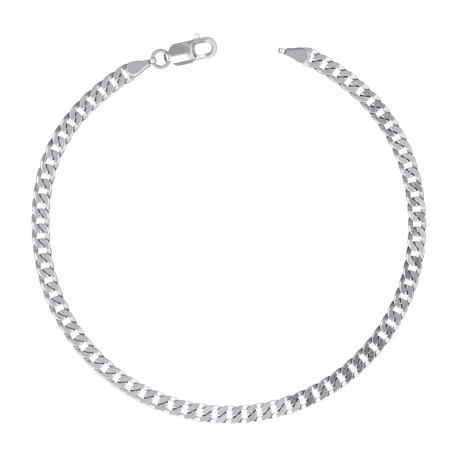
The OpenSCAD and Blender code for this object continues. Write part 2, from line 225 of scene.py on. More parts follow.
# A new object from points in millimetres and faces, with its finishes by name.
def makePiece(name, points, faces, finishes):
    mesh = bpy.data.meshes.new(name)
    mesh.from_pydata((np.asarray(points) * mm).tolist(), [], faces)
    for finish in finishes:
        mesh.materials.append(metals[finish])
    mesh.polygons.foreach_set("use_smooth", np.ones(len(mesh.polygons), bool))
    mesh.update()
    piece = bpy.data.objects.new(name, mesh)
    bpy.context.collection.objects.link(piece)
    return piece


# Points turned by an angle about the upright and moved.
def placed(points, where, angle, lift=0.0):
    c, s = math.cos(angle), math.sin(angle)
    x, y, z = points[..., 0], points[..., 1], points[..., 2]
    return np.stack([where[0] + x * c - y * s, where[1] + x * s + y * c, z + lift], -1)


# Whether a value, or each value of an array, lies inside a span.
def between(value, span):
    return (value > span[0]) & (value < span[1])


# Step from 0 to 1 over a span, with no slope at both ends: 3 t squared less 2 t cubed.
def easeStep(x, span):
    t = np.clip((x - span[0]) / (span[1] - span[0]), 0, 1)
    return t * t * (3 - 2 * t)


# Angles of points evenly round a circle.
def circleAngles(count=24):
    return np.linspace(0, 2 * np.pi, count, endpoint=False)


# Monotone curve through rows of values at the places t, round a closed ring, read at places s:
# cubic pieces whose slope at a row is the harmonic mean of its two chords, or 0 at a turn.
def ringCurve(t, rows, s):
    n = len(rows)
    span = np.diff(np.append(t, t[0] + 1.0))
    chord = (np.roll(rows, -1, 0) - rows) / span[:, None, None]
    before = np.roll(chord, 1, 0)
    same = before * chord > 0
    slope = np.where(same, 2 * before * chord / np.where(same, before + chord, 1.0), 0.0)
    i = np.clip(np.searchsorted(t, s, side="right") - 1, 0, n - 1)
    j = (i + 1) % n
    w = span[i][:, None, None]
    x = ((s - t[i])[:, None, None]) / w
    return ((1 + 2 * x) * (1 - x) ** 2 * rows[i] + x * (1 - x) ** 2 * w * slope[i]
            + x * x * (3 - 2 * x) * rows[j] + x * x * (x - 1) * w * slope[j])


# Sections with each corner k rounded by radius[k]: three points for each corner, on the
# parabola between the points at that distance along its two sides, or at most 0.42 of a side.
def roundSections(sections, radius):
    before = np.roll(sections, 1, 1) - sections
    after = np.roll(sections, -1, 1) - sections
    r = np.asarray(radius)[None, :, None]
    most = 0.42

    # The part of a side that the rounding of its corner takes.
    def reach(side):
        length = np.linalg.norm(side, axis=2, keepdims=True) + 1e-9
        return side / length * np.minimum(r, most * length)

    a, b = reach(before), reach(after)
    three = np.stack([sections + a, sections + (a + b) / 4, sections + b], 2)
    return three.reshape(len(sections), -1, 3)


# Quads of a grid of rings, closed round each ring and, if closed, from the last ring to the
# first one. They face outwards where a ring runs clockwise as seen along the way of the rings.
def ringFaces(rings, sides, closed):
    i = np.arange(rings if closed else rings - 1)[:, None]
    k = np.arange(sides)[None, :]
    j, m = (i + 1) % rings, (k + 1) % sides
    return np.stack([i * sides + k, i * sides + m, j * sides + m, j * sides + k], 2).reshape(-1, 4)


# Links and their loop, in millimetres and degrees, with the solids' own sizes.
chain = {
    "radius": 32.0, "count": 67, "start": 64.2,  # of the loop, which starts before its first link
    "length": 4.24, "width": 3.14, "thick": 1.0,  # of a link over its outside
    "wire": 0.73, "bar": 0.88, "gap": 0.24,  # its end, its side, and the gap between two links
    "power": 2.45,  # of its outline: 2 is an ellipse, and more is squarer
    "half": 33,  # last link of the first half
    "stations": 84,  # sections round a link
    "soft": [0.07, 0.06, 0.12, 0.06, 0.07, 0.2],  # rounding of the six corners of a section
    "swell": 0.11, "low": -0.12,  # of the end's inner wall, and height of the side bar's low edge
    "tilt": 0.014, "most": 4,  # lean of the filed tops, as a slope, and its greatest lift in tilts
    "near": np.array((-8, -4, 0, 4, 8)),  # directions over which the radius is a mean
    # Direction on the loop, and how much longer the radius and the pitch are there, as shares.
    "route": [[-300, -0.022, -0.02], [-232, -0.022, -0.02], [-216, 0.002, -0.02],
              [-204, 0.013, 0.003], [-194, 0.01, 0.003], [-180, -0.002, 0.003],
              [-166, 0, 0.003], [-144, 0, 0.015], [-100, 0, 0.015], [-86, 0, 0],
              [-50, 0, 0], [-32, 0, -0.01], [-12, 0, -0.01], [4, 0, -0.002],
              [20, 0.0065, -0.002], [36, 0.007, -0.002], [54, -0.004, -0.002],
              [90, -0.004, -0.002]],
}

# Bevel between the filed face and the outer wall of a link: how far the face's edge moves along
# and across at the last three sections of a quarter, and how far the wall's middle rises there.
bevel = {
    "outer": [(0, -0.05), (0.05, -0.2), (0, -0.28)],  # on the side away from the loop's middle
    "inner": [(0, 0), (0.05, -0.15), (0, -0.22)],
    "rise": (0.09, 0.09, 0.14),
    "right": 0.3,  # share of the outer bevel on the links of the loop's right half
    # How far the slit's walls move apart on its outer half and together on its inner half, as
    # shares of their distance from its middle.
    "wider": 0.25, "narrower": 0.32,
}


# Sections of one link in its own frame, where +u runs along the chain and +v away from the
# loop's middle. Two quarters, one for each side, are turned half round for the other two.
# Between these sections the points follow ringCurve, and their heights run straight. cut is the
# bevel's share, from 0 to 1.
def linkRings(cut):
    c = chain
    halfL, halfW, halfT = c["length"] / 2, c["width"] / 2, c["thick"] / 2
    halfP = c["length"] / 2 - c["wire"] - c["gap"] / 2
    over = halfL - halfP  # how far a link's end reaches past the middle between two links
    hole = halfW - c["bar"]  # half the height of a link's hole
    slit = 1.18 * over / hole  # slope of the slit between two links, seen from above
    low = 0.62 * c["gap"]  # how far a crossing wire stays from the middle plane

    # The outline's end at v, and its side at u: the powers of u and v, as shares of the half
    # length and the half width, add up to 1.
    def outU(v):
        return -halfL * (1 - (abs(v) / halfW) ** c["power"]) ** (1 / c["power"])

    def outV(u):
        return halfW * (1 - (abs(u) / halfL) ** c["power"]) ** (1 / c["power"])

    # Sections of a quarter of a link, from beside its end to its side bar. Each has six points:
    # top outer, top inner, middle inner, bottom inner, bottom outer and middle outer.
    v1, v2 = 0.55 * hole, 0.51 * halfW
    lean = slit * v1 / halfT  # of the slit's walls at v1, over the height
    # Distance along u from the slit's middle to a wall.
    face = 0.64 * c["gap"] * math.sqrt(1 + lean * lean)
    u3, u4 = -0.745 * halfL, -0.104 * halfL
    quarter = np.array([
        [[outU(v1) + 0.07 * over, v1, halfT], [-halfP + halfT * lean - face, v1, halfT],
         [-halfP - 0.4 * face, v1, 0], [-halfP - halfT * lean - face, v1, -halfT],
         [outU(v1) + 0.015 * over, v1, -0.6 * halfT], [outU(v1), v1, 0.1 * halfT]],
        [[outU(v2) + 0.08 * over, v2, halfT], [-halfP + 0.8 * over, 0.88 * hole, halfT],
         [-halfP + 0.26 * over, 0.96 * hole, 0.6 * halfT],
         [-halfP - 0.54 * over, 1.1 * hole, 1.2 * low],
         [outU(v2) + 0.19 * over, 1.02 * v2, 1.2 * low], [outU(v2), v2, 0.6 * halfT]],
        [[u3, outV(u3) - 0.06 * c["bar"], halfT], [-halfP + 0.94 * over, hole, halfT],
         [-halfP + 0.56 * over, 1.13 * hole, 0.6 * halfT],
         [-halfP + 0.16 * over, 1.33 * hole, low],
         [0.975 * u3, outV(u3) - 0.09 * c["bar"], low],
         [1.013 * u3, outV(1.013 * u3), 0.6 * halfT]],
        [[u4, outV(u4) - 0.06 * c["bar"], halfT], [u4, hole, halfT],
         [1.73 * u4, hole + 0.034 * c["bar"], 0.64 * halfT],
         [2.54 * u4, hole + 0.136 * c["bar"], c["low"]],
         [3.4 * u4, outV(3.4 * u4) - 0.09 * c["bar"], c["low"]],
         [2.2 * u4, outV(2.2 * u4), 0.5 * halfT]]])
    edge = -halfP - c["gap"] / 2
    end = np.array([[[-halfL + 0.07 * over, 0, halfT], [edge, 0, halfT], [edge + c["swell"], 0, 0],
                     [edge, 0, -halfT], [-halfL + 0.07 * over, 0, -halfT], [-halfL, 0, 0]]])
    swap = [4, 3, 2, 1, 0, 5]

    # Sections turned half round, by the signs of their three axes, with top and bottom swapped.
    def turnOver(s, by):
        return (s * np.array(by))[:, swap]

    quarter[1:, 5, 2] += np.array(bevel["rise"]) * cut
    outer, inner = quarter.copy(), quarter.copy()
    outer[1:, 0, :2] += np.array(bevel["outer"]) * cut
    inner[1:, 0, :2] += np.array(bevel["inner"]) * cut
    outer[0, 1:4, 0] -= bevel["wider"] * face
    inner[0, 1:4, 0] += bevel["narrower"] * face
    rows = np.concatenate([end, outer, turnOver(outer, (-1, 1, -1))[::-1],
                           turnOver(end, (-1, 1, -1)), inner * np.array((-1, -1, 1)),
                           turnOver(inner, (1, -1, -1))[::-1]])
    middle = rows.mean(1)
    step = np.linalg.norm(np.roll(middle, -1, 0) - middle, axis=1)
    t = np.concatenate([[0], np.cumsum(step)[:-1]]) / step.sum()
    more = c["stations"] - len(t)
    s = np.sort(np.concatenate([t, (np.arange(more) + 0.5) / more]))
    rings = ringCurve(t, rows, s)
    loop = np.append(t, 1.0)
    for k in range(rows.shape[1]):
        rings[:, k, 2] = np.interp(s, loop, np.append(rows[:, k, 2], rows[0, k, 2]))
    return roundSections(rings, c["soft"])


# Places and headings of all links, from the loop's radius and the pitch in each direction. Each
# step is the turn between two points of the loop that are one pitch apart, and a heading runs
# from the link before to the link after.
def linkPlaces():
    c = chain
    route = np.array(c["route"])
    pitch = c["length"] - 2 * c["wire"] - c["gap"]

    # The loop's radius, with the route's share as a mean over the directions near a.
    def radius(a):
        return c["radius"] * (1 + np.mean(np.interp(a + c["near"], route[:, 0], route[:, 1])))

    # The turn from a to the point one pitch p away: p squared is the change of radius squared
    # plus r0 r1 times the square of twice the sine of half the turn. r1 is the radius where a
    # plain circle's turn would end.
    def step(a):
        p = pitch * (1 + np.interp(a, route[:, 0], route[:, 2]))
        r0 = radius(a)
        r1 = radius(a - 2 * math.degrees(math.asin(p / 2 / r0)))
        return 2 * math.degrees(math.asin(math.sqrt((p * p - (r1 - r0) ** 2) / (r0 * r1)) / 2))

    angles = [c["start"] + step(c["start"])]
    while len(angles) < c["count"] + 2:
        angles.append(angles[-1] - step(angles[-1]))
    points = np.array([[radius(a) * math.cos(math.radians(a)),
                        radius(a) * math.sin(math.radians(a))] for a in angles])
    way = points[2:] - points[:-2]
    return points[1:-1], np.arctan2(way[:, 1], way[:, 0])


# Finishes of a link, its darker stretches and its painted shade. Directions are degrees on the loop,
# from +X towards +Y, and inner and outer are a link's sides towards and away from the loop's middle.
linkMetals = ["buffed_silver", "filed_silver", "crevice_shadow_silver", "filed_silver_grey",
              "filed_silver_dark", "slope_shade_silver", "light_slope_shade_silver"]
filedGrades = ["filed_silver", "filed_silver_grey", "filed_silver_dark"]
toneAndShade = {
    "seed": 7,
    "darkness": [(-46, 24, 1.0), (14, 42, 0.66)],  # middle, spread and strength of the darker stretches
    "right": (-68, 72), "chance": (0.2, 0.25),  # the right side, and chance's share at left and right
    "grades": (0.45, 0.8),  # darkness at which a filed face turns grey and dark
    # Slopes painted with shade, grey or pale, on these spans of directions.
    "greySlopes": {"outer": [(100, 160)], "inner": [(-75, -5)]},
    "paleSlopes": {"outer": [(-20, 25)], "inner": [(-5, 40), (100, 170)]},
    "walls": (0.12, 0.4),  # height of the painted shadow on a wall: at its ends, and in its middle
    "wallMiddle": 0.4, "wallEnd": 0.97,  # as shares of the hole's half height
    "wallColumns": (3.5, 10.5),  # the inner wall's columns of faces on a section
    "high": (-125, 72),  # here a wall's painted shadow reaches the greater height all along
    "shadowMarks": (-0.25, 0.45), "slopes": 0.02,  # heights of the painted shadow marks, and of the slopes' foot
    # The marks are painted shadow where a neighbour's wire crosses over a link.
    # How far marks reach past the neighbour's outline, where 1 is the outline itself: on the
    # outer side at the left, at the right, and at the lower right, which starts at a place x, y,
    "outerReach": (1.0, 1.06, 1.2), "outerLow": (-3.0, -10.0),
    # and on the inner side at the bottom, above a line of y, and in a span of directions.
    "innerReach": (1.0, 1.17, 1.28), "innerTop": -24.0, "innerLow": (-70, -20),
}


# Parts of a link's surface, as a yes or no for each face, with the faces' places. The reach is
# the outline's formula for the neighbour that crosses there: 1 on its outline, more outside.
def linkParts(ring, quads):
    c, w = chain, toneAndShade
    count, sides = ring.shape[:2]
    level = np.isclose(np.abs(ring[..., 2]), c["thick"] / 2, rtol=0, atol=1e-4)
    u, v, z = ring.reshape(-1, 3)[quads].mean(1).T
    column = np.tile(np.arange(sides), count)
    across = np.abs(v)
    hole = c["width"] / 2 - c["bar"]
    pitch = c["length"] - 2 * c["wire"] - c["gap"]
    along = np.abs(np.where(v > 0, pitch - u, pitch + u))
    filed = level.reshape(-1)[quads].all(1)
    dips = u * v > 0
    return {
        "u": u, "z": z, "outer": v > 0, "filed": filed,
        "wall": (across < w["wallEnd"] * hole) & between(column, w["wallColumns"]),
        "wallMiddle": across < w["wallMiddle"] * hole,
        "under": dips & between(z, w["shadowMarks"]) & (across > hole),
        "sloping": dips & (z > w["slopes"]) & (across > w["wallEnd"] * hole) & ~filed,
        "reach": (along / (c["length"] / 2)) ** c["power"] + (across / (c["width"] / 2)) ** c["power"],
    }


# Finish of each face of link i, at the place x, y in the direction a. Its darkness is the sum of
# the darker stretches' bell curves and a share of chance.
def linkFinish(parts, i, x, y, a, chance):
    w, number = toneAndShade, linkMetals.index
    outer, u = parts["outer"], parts["u"]
    darkness = sum(strength * math.exp(-((a - middle) / spread) ** 2)
               for middle, spread, strength in w["darkness"])
    darkness += w["chance"][int(between(a, w["right"]))] * chance
    grade = filedGrades[sum(darkness >= edge for edge in w["grades"])]
    low = x > w["outerLow"][0] and y < w["outerLow"][1]
    outerReach = w["outerReach"][2 if low else 1 if x > 0 else 0]
    innerReach = w["innerReach"][2 if between(a, w["innerLow"]) else 1 if y > w["innerTop"] else 0]
    crossed = {0: u > 0, chain["count"] - 1: u < 0}.get(i, True)  # the end links have one neighbour
    walls = np.where(parts["wallMiddle"] | between(a, w["high"]), w["walls"][1], w["walls"][0])
    shadowMarks = parts["under"] & crossed & (parts["reach"] < np.where(outer, outerReach, innerReach))

    # The slopes whose side of the link takes this painted shade in this direction.
    def slopes(spans):
        chosen = {side: any(between(a, span) for span in spans[side]) for side in spans}
        return parts["sloping"] & np.where(outer, chosen["outer"], chosen["inner"])

    # Filed faces take their grade; walls and marks take painted shadow; some slopes take painted shade.
    return np.select(
        [parts["filed"], parts["wall"] & (parts["z"] < walls) | shadowMarks,
         slopes(w["greySlopes"]), slopes(w["paleSlopes"])],
        [number(grade), number("crevice_shadow_silver"), number("slope_shade_silver"), number("light_slope_shade_silver")],
        number("buffed_silver"))


# Links of one stretch of chain in one piece. Each is the plain link moved towards the bevelled
# one by the squared cosine of its direction, so that the bevel shows at the loop's two sides, and
# its upper half leans by chance. Filed faces are shaded flat.
def makeLinks(name, first, last):
    plain, bevelled = linkRings(0), linkRings(1)
    where, turn = linkPlaces()
    quads = ringFaces(*plain.shape[:2], True)
    parts = linkParts(plain, quads)
    u, v, z = plain[..., 0], plain[..., 1], plain[..., 2]
    chance = np.random.default_rng(toneAndShade["seed"]).normal(0, 1, (chain["count"], 2))
    points, faces, finish = [], [], []
    for i in range(first, last + 1):
        x, y = where[i]
        a = math.degrees(math.atan2(y, x))
        outerShare = 1.0 if abs(a) > 90 else bevel["right"]
        share = np.where(plain[..., 1:2] > 0, outerShare, 1.0)
        own = plain + math.cos(math.radians(a)) ** 2 * share * (bevelled - plain)
        lean = np.clip(u * chance[i, 0] + v * chance[i, 1], -chain["most"], chain["most"])
        own[..., 2] += chain["tilt"] * lean * np.clip(2 * z, 0, 1)
        faces.append(quads + len(points) * z.size)
        points.append(placed(own, where[i], turn[i], chain["thick"] / 2).reshape(-1, 3))
        finish.append(linkFinish(parts, i, x, y, a, chance[i, 0]))
    piece = makePiece(name, np.concatenate(points), np.concatenate(faces).tolist(), linkMetals)
    piece.data.polygons.foreach_set("use_smooth", ~np.tile(parts["filed"], len(points)))
    piece.data.polygons.foreach_set("material_index", np.concatenate(finish))
    piece.data.update()
    return piece


# Outward normals of a closed outline that runs anticlockwise.
def outlineNormals(outline):
    way = np.roll(outline, -1, 0) - np.roll(outline, 1, 0)
    way = way / np.linalg.norm(way, axis=1, keepdims=True)
    return np.stack([way[:, 1], -way[:, 0]], 1)


# A closed slab with flat ends: the outline at each level (inset, height, extra, rim), moved
# inwards by inset, out by extra where it faces +Y, and inwards by rim where it faces +X.
def slabPiece(name, outline, levels, put, finishes):
    normal = outlineNormals(outline)
    side, front = np.clip(normal[:, 1:], 0, 1), np.clip(normal[:, :1], 0, 1)
    rings = []
    for inset, height, extra, rim in levels:
        flat = outline + normal * (extra * side - rim * front - inset)
        rings.append(np.column_stack([flat, np.full(len(flat), height)]))
    count, sides = len(rings), len(outline)
    faces = ringFaces(count, sides, False).tolist()
    faces.append(list(range(sides))[::-1])
    faces.append(list(range((count - 1) * sides, count * sides)))
    piece = makePiece(name, placed(np.concatenate(rings), *put), faces, finishes)
    ends = np.arange(len(faces)) >= len(faces) - 2
    piece.data.polygons.foreach_set("use_smooth", ~ends)
    piece.data.polygons.foreach_set("material_index", ends.astype(int))
    piece.data.update()
    return piece


# A ring of section points (radius, height) swept round the axis Z by the angles given, with its
# two ends closed if they don't meet. turnUp lays the axis along Y instead.
def sweptRing(name, section, angles, put, finishes, turnUp=False):
    c, s = np.cos(angles)[:, None], np.sin(angles)[:, None]
    r, h = section[None, :, 0], section[None, :, 1]
    points = np.stack([r * c, r * s, h + 0 * c], -1)
    closed = abs(abs(angles[-1] - angles[0]) - 2 * math.pi) < 1e-6
    if closed:
        points = points[:-1]
    if turnUp:
        points = points[..., [0, 2, 1]]
    faces = ringFaces(len(points), len(section), closed)
    if not turnUp:
        faces = faces[:, ::-1]
    faces = faces.tolist()
    if not closed:
        n = len(section)
        last = (len(points) - 1) * n
        faces.append(list(range(n)))
        faces.append(list(range(last, last + n))[::-1])
    return makePiece(name, placed(points, *put).reshape(-1, 3), faces, finishes)


# Several pieces in one object, with their own finishes.
def joined(name, parts):
    mesh = bmesh.new()
    slots = []
    for part in parts:
        before = len(mesh.faces)
        mesh.from_mesh(part.data)
        mesh.faces.ensure_lookup_table()
        index = []
        for material in part.data.materials:
            if material not in slots:
                slots.append(material)
            index.append(slots.index(material))
        for face in mesh.faces[before:]:
            face.material_index = index[face.material_index]
    result = bpy.data.meshes.new(name)
    mesh.to_mesh(result)
    mesh.free()
    for material in slots:
        result.materials.append(material)
    for part in parts:
        bpy.data.objects.remove(part)
    piece = bpy.data.objects.new(name, result)
    bpy.context.collection.objects.link(piece)
    return piece


# End tags: a flared plate with a bevel on one side, its neck, its eye and the link soldered below
# the plate. Lengths are the solids' own, in millimetres from the middle of the eye.
tag = {
    "bore": 0.45, "eye": 0.56, "eyeWide": 0.85, "eyeZ": 0.75,  # radii, width and height of the eye
    "eyePower": (0.6, 0.3), "eyeRim": 0.8,  # squareness of its wall, and where its rim of painted shade starts
    "plate": 0.76, "long": 4.9, "wide": 2.45,  # start, far end and width of the plate
    "thick": 1.1, "lift": 0.05,  # its thickness, and its height over the table
    "neck": 1.05, "neckTop": 0.65,  # width and top of the neck
    "neckFrom": 0.9, "neckIn": 0.2,  # its start, as a share of the eye, and its end in the plate
    "bevel": 0.2, "bevelFrom": 0.5,  # width, and least +Y part of the normal where it shows
    # Levels of the plate: 0 for its underside or 1 for its top, the height from there, the inset,
    # the share of the bevel's width by which the bevelled side stands out, and the round end's rim.
    "levels": [(0, 0, 0.14, 0, 0), (0, 0.02, 0.06, 0.5, 0), (0, 0.08, 0.01, 1, 0),
               (1, -0.3, 0, 1, 0), (1, -0.26, 0.02, 1, 0), (1, -0.19, 0.03, 0.4, 0.03),
               (1, -0.14, 0.04, 0, 0.06), (1, -0.05, 0.06, -0.45, 0.11),
               (1, -0.02, 0.07, -0.6, 0.15), (1, 0, 0.1, -0.7, 0.17)],
    "line": 4, "band": 5,  # the levels at which the bevel's painted dark line and its painted grey band start
    # Levels of the neck: 0 for its underside or 1 for its top, the height from there, the inset.
    "neckLevels": [(0, 0, 0.03), (0, 0.04, 0), (1, -0.05, 0), (1, 0, 0.04)],
    "flankPoints": 30, "endPoints": 39, "frontPoints": 6, "eyeSections": 48,
}
tagMetals = ["buffed_silver", "plate_silver", "shaded_silver", "rim_shade_silver"]
tagPlaces = {
    "tag_free_end": {"eye": (9.012, 29.883), "turn": -13.7, "link": 0, "line": "rim_shade_silver"},
    "tag_clasp_end": {"eye": (-12.92, 28.21), "turn": 202.1, "link": chain["count"] - 1,
                      "line": "shaded_silver"},
}


# Outline of a tag's plate, anticlockwise: two flanks on half a cosine wave from the neck's width
# to the full width, a half circle at the far end and a straight edge at the neck.
def tagOutline():
    t = tag
    widest = t["long"] - t["wide"] / 2
    s = np.linspace(0, 1, t["flankPoints"])
    flank = np.column_stack([t["plate"] + (widest - t["plate"]) * s,
                             t["neck"] / 2 + (t["wide"] - t["neck"]) * (1 - np.cos(np.pi * s)) / 4])
    a = np.radians(np.linspace(90, -90, t["endPoints"] + 2)[1:-1])
    end = np.column_stack([widest + t["wide"] / 2 * np.cos(a), t["wide"] / 2 * np.sin(a)])
    across = np.linspace(-1, 1, t["frontPoints"] + 2)[1:-1]
    front = np.column_stack([np.full(len(across), t["plate"]), across * t["neck"] / 2])
    return np.concatenate([flank, end, flank[::-1] * (1, -1), front])[::-1]


# One tag. The eye's section is a rounded box: powers of a cosine and a sine.
def makeTag(name):
    t, at, number = tag, tagPlaces[name], tagMetals.index
    put = (at["eye"], math.radians(at["turn"]))
    low, half = t["lift"], t["eyeWide"] / 2
    outline = tagOutline()
    levels = [(inset, low + up * t["thick"] + height, share * t["bevel"], rim)
              for up, height, inset, share, rim in t["levels"]]
    plate = slabPiece(name + "_plate", outline, levels, put, tagMetals)
    # Faces of the bevel that face +Y take a painted dark line and a painted grey band.
    step = np.repeat(np.arange(len(levels) - 1), len(outline))
    bevelled = np.tile(outlineNormals(outline)[:, 1] > t["bevelFrom"], len(levels) - 1)
    band = np.select([bevelled & (step == t["line"]), bevelled & (step == t["band"])],
                     [number(at["line"]), number("rim_shade_silver")], 0)
    ends = (number("plate_silver"), number("plate_silver"))
    plate.data.polygons.foreach_set("material_index", np.append(band, ends))
    start, stop = t["neckFrom"] * t["eye"], t["plate"] + t["neckIn"]
    box = np.array([[start, -half], [stop, -half], [stop, half], [start, half]])
    levels = [(inset, (t["neckTop"] if up else low) + height, 0, 0)
              for up, height, inset in t["neckLevels"]]
    # The neck, in the groove beside the eye, is painted with shade.
    neck = slabPiece(name + "_neck", box, levels, put, ["shaded_silver", "shaded_silver"])
    a = circleAngles()
    wide, tall = t["eyePower"]
    wall, middle = (t["eye"] - t["bore"]) / 2, (t["eye"] + t["bore"]) / 2
    section = np.column_stack([middle + wall * np.sign(np.cos(a)) * np.abs(np.cos(a)) ** wide,
                               half * np.sign(np.sin(a)) * np.abs(np.sin(a)) ** tall])
    turns = np.linspace(0, 2 * np.pi, t["eyeSections"] + 1)
    tube = sweptRing(name + "_eye", section, turns, put + (t["eyeZ"],),
                     ["buffed_silver", "shaded_silver"], True)
    # The eye's rims at its two ends are painted with shade.
    rim = np.abs(section[:, 1]) > t["eyeRim"] * half
    edge = rim & np.roll(rim, -1)
    tube.data.polygons.foreach_set("material_index", np.tile(edge.astype(int), t["eyeSections"]))
    return joined(name, [plate, neck, tube, makeLinks(name + "_link", at["link"], at["link"])])


# Jump ring, in millimetres and degrees: width of its middle line, its wire, its place, and the
# saw cut's width and direction.
jumpRing = {"round": 2.87, "thick": 0.56, "z": 0.75, "middle": (-11.58, 28.51),
            "cut": 2.5, "at": -73.0, "sections": 120}


# A circle swept round a circle, from one side of the saw cut to the other.
def makeJumpRing():
    j = jumpRing
    a = circleAngles()
    section = np.column_stack([j["round"] / 2 + j["thick"] / 2 * np.cos(a), j["thick"] / 2 * np.sin(a)])
    turns = np.linspace(j["at"] + j["cut"] / 2, j["at"] + 360 - j["cut"] / 2, j["sections"])
    return sweptRing("ring_wire", section, np.radians(turns), (j["middle"], 0.0, j["z"]),
                     ["satin_silver"])


# The CAD node's shape merged into one skin, remeshed with small cells and smoothed, so that its
# edges are as soft as a casting's.
def castPiece(name, node, cell, rounds, finishes):
    mesh = bmesh.new()
    mesh.from_mesh(nodes[node].data)
    mesh.transform(nodes[node].matrix_world)
    bmesh.ops.remove_doubles(mesh, verts=mesh.verts, dist=1e-7)
    data = bpy.data.meshes.new(name)
    mesh.to_mesh(data)
    mesh.free()
    piece = bpy.data.objects.new(name, data)
    bpy.context.collection.objects.link(piece)
    cells = piece.modifiers.new("cells", "REMESH")
    cells.mode = "VOXEL"
    cells.voxel_size = cell * mm
    cells.use_smooth_shade = True
    soft = piece.modifiers.new("soft", "SMOOTH")
    soft.factor = 0.5
    soft.iterations = rounds
    graph = bpy.context.evaluated_depsgraph_get()
    done = bpy.data.meshes.new_from_object(piece.evaluated_get(graph))
    piece.modifiers.clear()
    piece.data = done
    done.name = name
    done.materials.clear()
    for finish in finishes:
        done.materials.append(metals[finish])
    done.polygons.foreach_set("use_smooth", np.ones(len(done.polygons), bool))
    done.update()
    return piece


# Clasp, in millimetres in its own frame, where +X runs from the ring to the hook and +Y to the
# spine: its place on the table, and marks of its shape.
clasp = {
    "at": (-10.18128, 28.81467), "turn": math.radians(12.45),
    "mouth": 4.62, "inner": 0.95, "middle": 0.198,  # start, half width and middle of the opening
    "spine": 1.98, "hook": 6.55,  # the spine's edge, and the middle of the hook's round end
    "top": 1.66, "crest": 0.1,  # height and line of the ridge between the two planes of the top
}

# Body: its remeshed cells and smoothing, and the cuts on its top, as heights and slopes, with
# the spans along X in which they ease in or out.
cuts = {
    "cell": 0.04, "rounds": 3,
    "sweep": (2.6, 1.7), "sweepRise": 0.9, "sweepEase": 0.5,  # of the ridge towards the spine
    "spineFall": 0.204, "spineEase": 0.07,  # slope of the spine's plane, and less along the sweep
    "bellyFall": 0.128, "bellyEase": 0.043, "bellySpan": (2.7, 3.6),  # the same for the belly's
    "soft": 0.003, "softer": 0.01, "softSpan": (2.2, 3.4),  # roundness of the ridge
    "step": 0.25, "stepFrom": 0.17, "stepTo": 0.42, "stepWide": 0.25,  # slope, and place on the spine
    "stepIn": (0.6, 1.8), "stepOut": (2.2, 3.2),
    "spineBevel": 0.16, "spineDeep": 0.3,  # width of the spine's bevel, and its greatest depth
    "belly": -1.22, "bellyBevel": 0.75, "bellyWide": 0.6,  # start, slope and width of the belly's
    "lip": 1.12, "lipSlope": 0.62, "lipWide": 2.0,  # height, slope and width round the mouth
    "reach": 0.25, "least": 1.0, "up": 0.3,  # what counts as top: past the mouth, height, normal
}


# Points and normals of a piece's vertices in millimetres, in the clasp's own frame.
def claspFrame(mesh):
    where = np.empty(3 * len(mesh.vertices))
    facing = np.empty(3 * len(mesh.vertices))
    mesh.vertices.foreach_get("co", where)
    mesh.vertex_normals.foreach_get("vector", facing)
    where = where.reshape(-1, 3) / mm - np.array(clasp["at"] + (0,))
    return placed(where, (0, 0), -clasp["turn"]), placed(facing.reshape(-1, 3), (0, 0), -clasp["turn"])


# New places for a piece's vertices, given in the clasp's own frame.
def setClaspFrame(mesh, where):
    mesh.vertices.foreach_set("co", (placed(where, clasp["at"], clasp["turn"]) * mm).reshape(-1))
    mesh.update()


# Distance from the rim of the mouth, here a square with round corners, and below 0 inside it: the
# distance from a smaller square in its middle, less the corners' radius.
def mouthGap(x, y):
    corner = clasp["inner"] / 2
    far = clasp["mouth"] + 2 * clasp["inner"]
    along = np.maximum(np.maximum(clasp["mouth"] + corner - x, x - far + corner), 0)
    across = np.maximum(np.abs(y - clasp["middle"]) - corner, 0)
    return np.hypot(along, across) - corner


# Height of the body's top: the lower of two planes, softened by a square root, less a shallow
# step and a bevel beside the spine and a bevel along the belly. Near the mouth the belly's plane
# sweeps over towards the spine.
def bodyTop(x, y):
    c = cuts
    sweep = np.clip(x - c["sweep"][0], 0, c["sweep"][1])
    crest = clasp["crest"] + c["sweepRise"] * sweep * sweep / (sweep + c["sweepEase"])
    spineSide = clasp["top"] + (c["spineFall"] - c["spineEase"] * sweep) * (clasp["crest"] - y)
    bellyFall = c["bellyFall"] - c["bellyEase"] * easeStep(x, c["bellySpan"])
    bellySide = clasp["top"] - bellyFall * (crest - y)
    soft = c["soft"] + c["softer"] * easeStep(x, c["softSpan"])
    top = (spineSide + bellySide - np.sqrt((spineSide - bellySide) ** 2 + soft)) / 2
    share = easeStep(x, c["stepIn"]) * (1 - easeStep(x, c["stepOut"]))
    deep = np.clip(clasp["spine"] - c["stepFrom"] - y, 0, c["stepWide"])
    top -= c["step"] * share * deep * (y > clasp["spine"] - c["stepTo"])
    top -= np.clip(y - clasp["spine"] + c["spineBevel"], 0, c["spineDeep"])
    top -= c["bellyBevel"] * np.clip(c["belly"] - y, 0, c["bellyWide"])
    return top


# The body's vertices on its top are lowered to bodyTop and to the bevel round the mouth, whose
# height grows with the distance from the mouth.
def shapeBody(mesh):
    c = cuts
    where, facing = claspFrame(mesh)
    x, y, z = where.T
    gap = mouthGap(x, y)
    lip = np.where(gap > 0, c["lip"] + c["lipSlope"] * np.clip(gap, 0, c["lipWide"]), np.inf)
    onTop = (facing[:, 2] > c["up"]) & (z > c["least"]) & (x < clasp["mouth"] + c["reach"])
    where[:, 2] = np.where(onTop, np.minimum(z, np.minimum(bodyTop(x, y), lip)), z)
    setClaspFrame(mesh, where)


